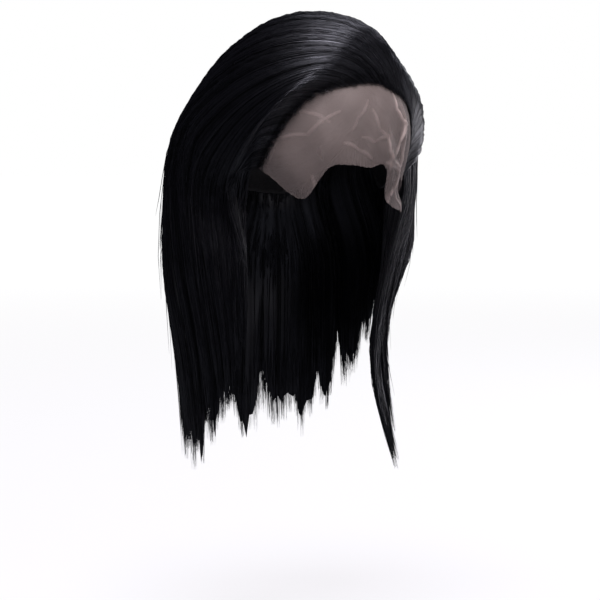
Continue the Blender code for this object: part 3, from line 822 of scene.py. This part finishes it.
def lace_crease(azimuth, elevation):
    """The height of the sharp creases, 0 to about 1."""
    total = np.zeros(azimuth.shape)
    for start_az, start_el, end_az, end_el, half_width, height in LACE_CREASES:
        run, rise = end_az - start_az, end_el - start_el
        length = math.hypot(run, rise)
        along = ((azimuth - start_az) * run + (elevation - start_el) * rise) / length**2
        across = ((azimuth - start_az) * rise - (elevation - start_el) * run) / length
        beyond = length * np.maximum(np.maximum(-along, along - 1), 0)
        bend = CREASE_BEND * length * np.sin(np.pi * np.clip(along, 0, 1))
        away = np.hypot(across + bend, beyond) / half_width
        faded = 0.5 + 0.5 * np.sin(np.pi * np.clip(along, 0, 1))
        total = np.maximum(total, height * faded / (1 + away**2) ** 1.5)
    return total


def lace_front():
    """The lace panel, from its seam with the cap down over the brow to its cut edge."""
    rng = np.random.default_rng(SEED)
    column = np.linspace(LACE_EDGE[0][0], LACE_EDGE[-1][0], LACE_COLUMNS + 1)
    top = cap_edge(column) - math.degrees(SEAM_GAP / HALF_LENGTH)
    ragged = LACE_RAGGED_DEG * (rng.random(LACE_COLUMNS + 1) - 0.5)
    bottom = np.minimum(smooth_rows(column, LACE_EDGE)[:, 0] + ragged, top - LACE_HEM_DEG)
    share = np.linspace(0, 1, LACE_ROWS + 1)[:, None]
    elevation = top + (bottom - top) * share
    azimuth = lace_azimuth(column, elevation)
    relief, crease = lace_relief(azimuth, elevation)
    outer = head_point(direction(azimuth, elevation), relief)
    inner = head_point(direction(azimuth, elevation), relief - LACE_THICKNESS)
    points, faces = closed_wall(outer, inner)
    across = np.linalg.norm(np.diff(outer, axis=1, prepend=outer[:, :1]), axis=-1)
    down = np.linalg.norm(np.diff(outer, axis=0, prepend=outer[:1]), axis=-1)
    flat = np.stack([np.cumsum(across.mean(0)) + 0 * elevation, np.cumsum(down, axis=0)], axis=-1)
    flat = np.concatenate([flat.reshape(-1, 2)] * 2)
    steep = lace_steepness(outer, azimuth, elevation)
    tone = np.clip(crease + LACE_STEEP_TONE * steep, 0, 1)
    tone = np.concatenate([tone.ravel()] * 2)
    lace = make_piece("lace_panel", "lace", points, [faces], tone, flat)
    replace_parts(lace, "lace_front")
    return lace


def lace_steepness(points, azimuth, elevation):
    """How far the lace's surface turns away from the head's, 0 to 1. A fold is seen through more net."""
    across, down = np.gradient(points, axis=1), np.gradient(points, axis=0)
    on_head = head_point(direction(azimuth, elevation), 0 * azimuth)
    across_head, down_head = np.gradient(on_head, axis=1), np.gradient(on_head, axis=0)
    normal = unit(np.cross(across, down))
    head_normal = unit(np.cross(across_head, down_head))
    return 1 - np.clip((normal * head_normal).sum(-1), 0, 1)


def wig_cap():
    """The stretch cap: a dome of net with sewn rows round it."""
    azimuth = np.arange(CAP_COLUMNS) * 360 / CAP_COLUMNS - 180
    edge = cap_edge(azimuth)
    share = np.linspace(0, 1, CAP_ROWS, endpoint=False)[:, None]
    elevation = edge + (90 - edge) * share
    azimuth = azimuth + 0 * elevation
    row = np.maximum(np.cos(2 * np.pi * share * WEFT_ROWS), 0) ** 4 + 0 * elevation
    outer = head_point(direction(azimuth, elevation), CAP_WALL - WEFT_HEIGHT * (1 - row))
    inner = head_point(direction(azimuth, elevation), WEFT_HEIGHT * (1 - row))
    crown = [head_point(direction(0.0, 90.0), offset) for offset in (CAP_WALL - WEFT_HEIGHT, WEFT_HEIGHT)]
    count = CAP_ROWS * CAP_COLUMNS
    points = np.concatenate([outer.reshape(-1, 3), inner.reshape(-1, 3), crown])
    grid = np.arange(count).reshape(CAP_ROWS, CAP_COLUMNS)
    beside = np.roll(grid, -1, axis=1)
    wall = np.stack([grid[:-1], beside[:-1], beside[1:], grid[1:]], axis=-1).reshape(-1, 4)
    rim = np.column_stack([beside[0], grid[0], grid[0] + count, beside[0] + count])
    top = np.column_stack([grid[-1], beside[-1], np.full(CAP_COLUMNS, 2 * count)])
    under = np.column_stack([beside[-1] + count, grid[-1] + count, np.full(CAP_COLUMNS, 2 * count + 1)])
    faces = [np.concatenate([wall, wall[:, ::-1] + count, rim]), np.concatenate([top, under])]
    tone = np.concatenate([row.ravel(), row.ravel(), [0, 0]])
    flat = np.stack([np.radians(azimuth) * HALF_LENGTH, np.radians(elevation) * HALF_LENGTH], axis=-1)
    flat = np.concatenate([flat.reshape(-1, 2), flat.reshape(-1, 2), [[0, 0], [0, 0]]])
    cap = make_piece("cap_dome", "cap_net", points, faces, tone, flat)
    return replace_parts(cap, "wig_cap")


def add(tree, kind, inputs=None, **settings):
    """A node with its settings, and its inputs as values or as links from other nodes' outputs."""
    made = tree.nodes.new(kind)
    for name, value in settings.items():
        setattr(made, name, value)
    for name, value in (inputs or {}).items():
        if isinstance(value, bpy.types.NodeSocket):
            tree.links.new(value, made.inputs[name])
        else:
            made.inputs[name].default_value = value
    return made


def new_material(slot):
    """The tree and shader of a new material for a slot. The part's own one of that name steps aside."""
    taken = bpy.data.materials.get(slot)
    if taken:
        taken.name = slot + "_plain"
    made = bpy.data.materials.new(slot)
    made.use_nodes = True
    return made.node_tree, made.node_tree.nodes["Principled BSDF"]


def colour_between(tree, factor, low, high):
    """A colour from low to high, as the factor goes from 0 to 1."""
    ramp = add(tree, "ShaderNodeValToRGB", {"Fac": factor})
    ramp.color_ramp.elements[0].color = (*low, 1)
    ramp.color_ramp.elements[1].color = (*high, 1)
    return ramp.outputs["Color"]


def hair_material():
    """Near-black fibre with a cool sheen, a little uneven from strand to strand."""
    tree, shader = new_material("hair")
    tone = add(tree, "ShaderNodeAttribute", attribute_name="tone").outputs["Fac"]
    place = add(tree, "ShaderNodeTexCoord").outputs["Object"]
    patches = add(tree, "ShaderNodeTexNoise", {"Vector": place, "Scale": HAIR_PATCH_SCALE, "Detail": 3.0})
    patches = patches.outputs["Fac"]
    mixed = add(tree, "ShaderNodeMath", {0: tone, 1: patches}, operation="MULTIPLY").outputs[0]
    colour = colour_between(tree, mixed, *HAIR_COLOURS)
    tree.links.new(colour, shader.inputs["Base Color"])
    low, high = HAIR_ROUGHNESS
    rough = add(tree, "ShaderNodeMapRange", {"Value": tone, "To Min": low, "To Max": high})
    tree.links.new(rough.outputs[0], shader.inputs["Roughness"])
    low, high = HAIR_GLOSS
    gloss = add(tree, "ShaderNodeMapRange", {"Value": tone, "To Min": low, "To Max": high})
    tree.links.new(gloss.outputs[0], shader.inputs["Specular IOR Level"])
    shader.inputs["IOR"].default_value = 1.55
    shader.inputs["Specular Tint"].default_value = (0.86, 0.86, 1.0, 1)


def lace_material():
    """Sheer beige net: hexagonal holes, denser where it is creased."""
    tree, shader = new_material("lace")
    tone = add(tree, "ShaderNodeAttribute", attribute_name="tone").outputs["Fac"]
    place = add(tree, "ShaderNodeUVMap", uv_map="flat").outputs["UV"]
    frequency = 4 * math.pi / (math.sqrt(3) * LACE_PITCH)
    waves = None
    for turn in (0, 60, 120):
        way = (math.cos(math.radians(turn)), math.sin(math.radians(turn)), 0)
        across = add(tree, "ShaderNodeVectorMath", {0: place, 1: way}, operation="DOT_PRODUCT")
        wave = add(tree, "ShaderNodeMath", {0: across.outputs["Value"], 1: frequency}, operation="MULTIPLY")
        wave = add(tree, "ShaderNodeMath", {0: wave.outputs[0]}, operation="COSINE").outputs[0]
        if waves is not None:
            wave = add(tree, "ShaderNodeMath", {0: waves, 1: wave}, operation="ADD").outputs[0]
        waves = wave
    thread, hole = LACE_COVER
    edges = {"From Min": -0.3, "From Max": 0.3, "To Min": thread, "To Max": hole}
    cover = add(tree, "ShaderNodeMapRange", {"Value": waves, **edges}).outputs[0]
    shares = {0: tone, 1: LACE_FOLD_COVER, 2: cover}
    dense = add(tree, "ShaderNodeMath", shares, operation="MULTIPLY_ADD", use_clamp=True)
    tree.links.new(dense.outputs[0], shader.inputs["Alpha"])
    cloud = add(tree, "ShaderNodeTexNoise", {"Vector": place, "Scale": 60.0, "Detail": 4.0}).outputs["Fac"]
    colour = colour_between(tree, cloud, *LACE_COLOURS)
    tree.links.new(colour, shader.inputs["Base Color"])
    bump = add(tree, "ShaderNodeBump", {"Height": waves, "Strength": 0.25, "Distance": 0.0002})
    tree.links.new(bump.outputs[0], shader.inputs["Normal"])
    shader.inputs["Roughness"].default_value = 0.55
    shader.inputs["Sheen Weight"].default_value = 0.3
    shader.inputs["Sheen Roughness"].default_value = 0.4


def cap_material():
    """Matte black stretch net with sewn rows."""
    tree, shader = new_material("cap_net")
    tone = add(tree, "ShaderNodeAttribute", attribute_name="tone").outputs["Fac"]
    place = add(tree, "ShaderNodeUVMap", uv_map="flat").outputs["UV"]
    cells = {"Vector": place, "Scale": CAP_NET_SCALE}
    net = add(tree, "ShaderNodeTexVoronoi", cells, feature="DISTANCE_TO_EDGE").outputs["Distance"]
    weave = add(tree, "ShaderNodeMath", {0: net, 1: CAP_THREAD}, operation="LESS_THAN").outputs[0]
    mixed = add(tree, "ShaderNodeMath", {0: tone, 1: weave}, operation="MAXIMUM").outputs[0]
    colour = colour_between(tree, mixed, *CAP_COLOURS)
    tree.links.new(colour, shader.inputs["Base Color"])
    bump = add(tree, "ShaderNodeBump", {"Height": mixed, "Strength": 0.5, "Distance": 0.0003})
    tree.links.new(bump.outputs[0], shader.inputs["Normal"])
    shader.inputs["Roughness"].default_value = 0.85


def stage():
    """A plain pale floor that turns into the white backdrop far away."""
    made = bpy.data.materials.new("floor")
    made.use_nodes = True
    tree, shader = made.node_tree, made.node_tree.nodes["Principled BSDF"]
    place = add(tree, "ShaderNodeTexCoord").outputs["Object"]
    away = add(tree, "ShaderNodeVectorMath", {0: place}, operation="LENGTH").outputs["Value"]
    far = add(tree, "ShaderNodeMapRange", {"Value": away, "From Min": 0.3, "From Max": 4.5}).outputs[0]
    glow = colour_between(tree, far, FLOOR_GLOW, BACKDROP)
    tree.links.new(glow, shader.inputs["Emission Color"])
    seen = add(tree, "ShaderNodeLightPath").outputs["Is Camera Ray"]
    tree.links.new(seen, shader.inputs["Emission Strength"])
    shader.inputs["Base Color"].default_value = (*FLOOR_COLOUR, 1)
    shader.inputs["Roughness"].default_value = 0.8
    corners = 64
    turn = 2 * np.pi * np.arange(corners) / corners
    points = np.column_stack([np.cos(turn), np.sin(turn), 0 * turn]) * FLOOR_RADIUS
    mesh = bpy.data.meshes.new("floor")
    mesh.from_pydata([tuple(point) for point in points], [], [tuple(range(corners))])
    mesh.materials.append(made)
    floor = bpy.data.objects.new("floor", mesh)
    floor.location = (0, 0, FLOOR_HEIGHT)
    bpy.context.scene.collection.objects.link(floor)


def around(target, azimuth, elevation, distance):
    """A place at a distance from the target, in the direction that the azimuth and elevation say."""
    azimuth, elevation = math.radians(azimuth), math.radians(elevation)
    level = math.cos(elevation)
    way = np.array([math.sin(azimuth) * level, -math.cos(azimuth) * level, math.sin(elevation)])
    return np.asarray(target) + way * distance


def aimed(obj, place, target):
    """Puts an object at a place, with its -Z towards the target, and links it."""
    obj.location = place
    obj.rotation_euler = (Vector(target) - Vector(place)).to_track_quat("-Z", "Y").to_euler()
    bpy.context.scene.collection.objects.link(obj)


def lights():
    """The soft round lamps, and a world that looks white but gives hardly any light."""
    for name, azimuth, elevation, distance, size, watts, colour in LIGHTS:
        light = bpy.data.lights.new(name, "AREA")
        light.shape = "DISK"
        light.size, light.energy, light.color = size, watts, colour
        place = around(HEAD_CENTRE, azimuth, elevation, distance)
        aimed(bpy.data.objects.new(name, light), place, tuple(HEAD_CENTRE))
    world = bpy.data.worlds.new("studio")
    world.use_nodes = True
    tree = world.node_tree
    seen = add(tree, "ShaderNodeLightPath").outputs["Is Camera Ray"]
    mixed = add(tree, "ShaderNodeMix", {"Factor": seen}, data_type="RGBA")
    mixed.inputs["A"].default_value = (*AMBIENT, 1)
    mixed.inputs["B"].default_value = (*BACKDROP, 1)
    tree.links.new(mixed.outputs["Result"], tree.nodes["Background"].inputs["Color"])
    bpy.context.scene.world = world


def camera():
    """The camera, in the photo's direction."""
    data = bpy.data.cameras.new("camera")
    data.lens = CAMERA_LENS
    data.sensor_width = 36
    made = bpy.data.objects.new("camera", data)
    aimed(made, around(CAMERA_TARGET, CAMERA_AZIMUTH, CAMERA_ELEVATION, CAMERA_DISTANCE), CAMERA_TARGET)
    bpy.context.scene.camera = made


def main():
    bpy.context.scene.view_settings.view_transform = "Standard"
    hair_material()
    lace_material()
    cap_material()
    guides = guide_vectors()
    for row in HAIR_PIECES:
        hair_core(*row, guides)
    for row in STRAND_PIECES:
        strand_piece(*row, guides)
    wig_cap()
    lace_front()
    stage()
    lights()
    camera()


main()
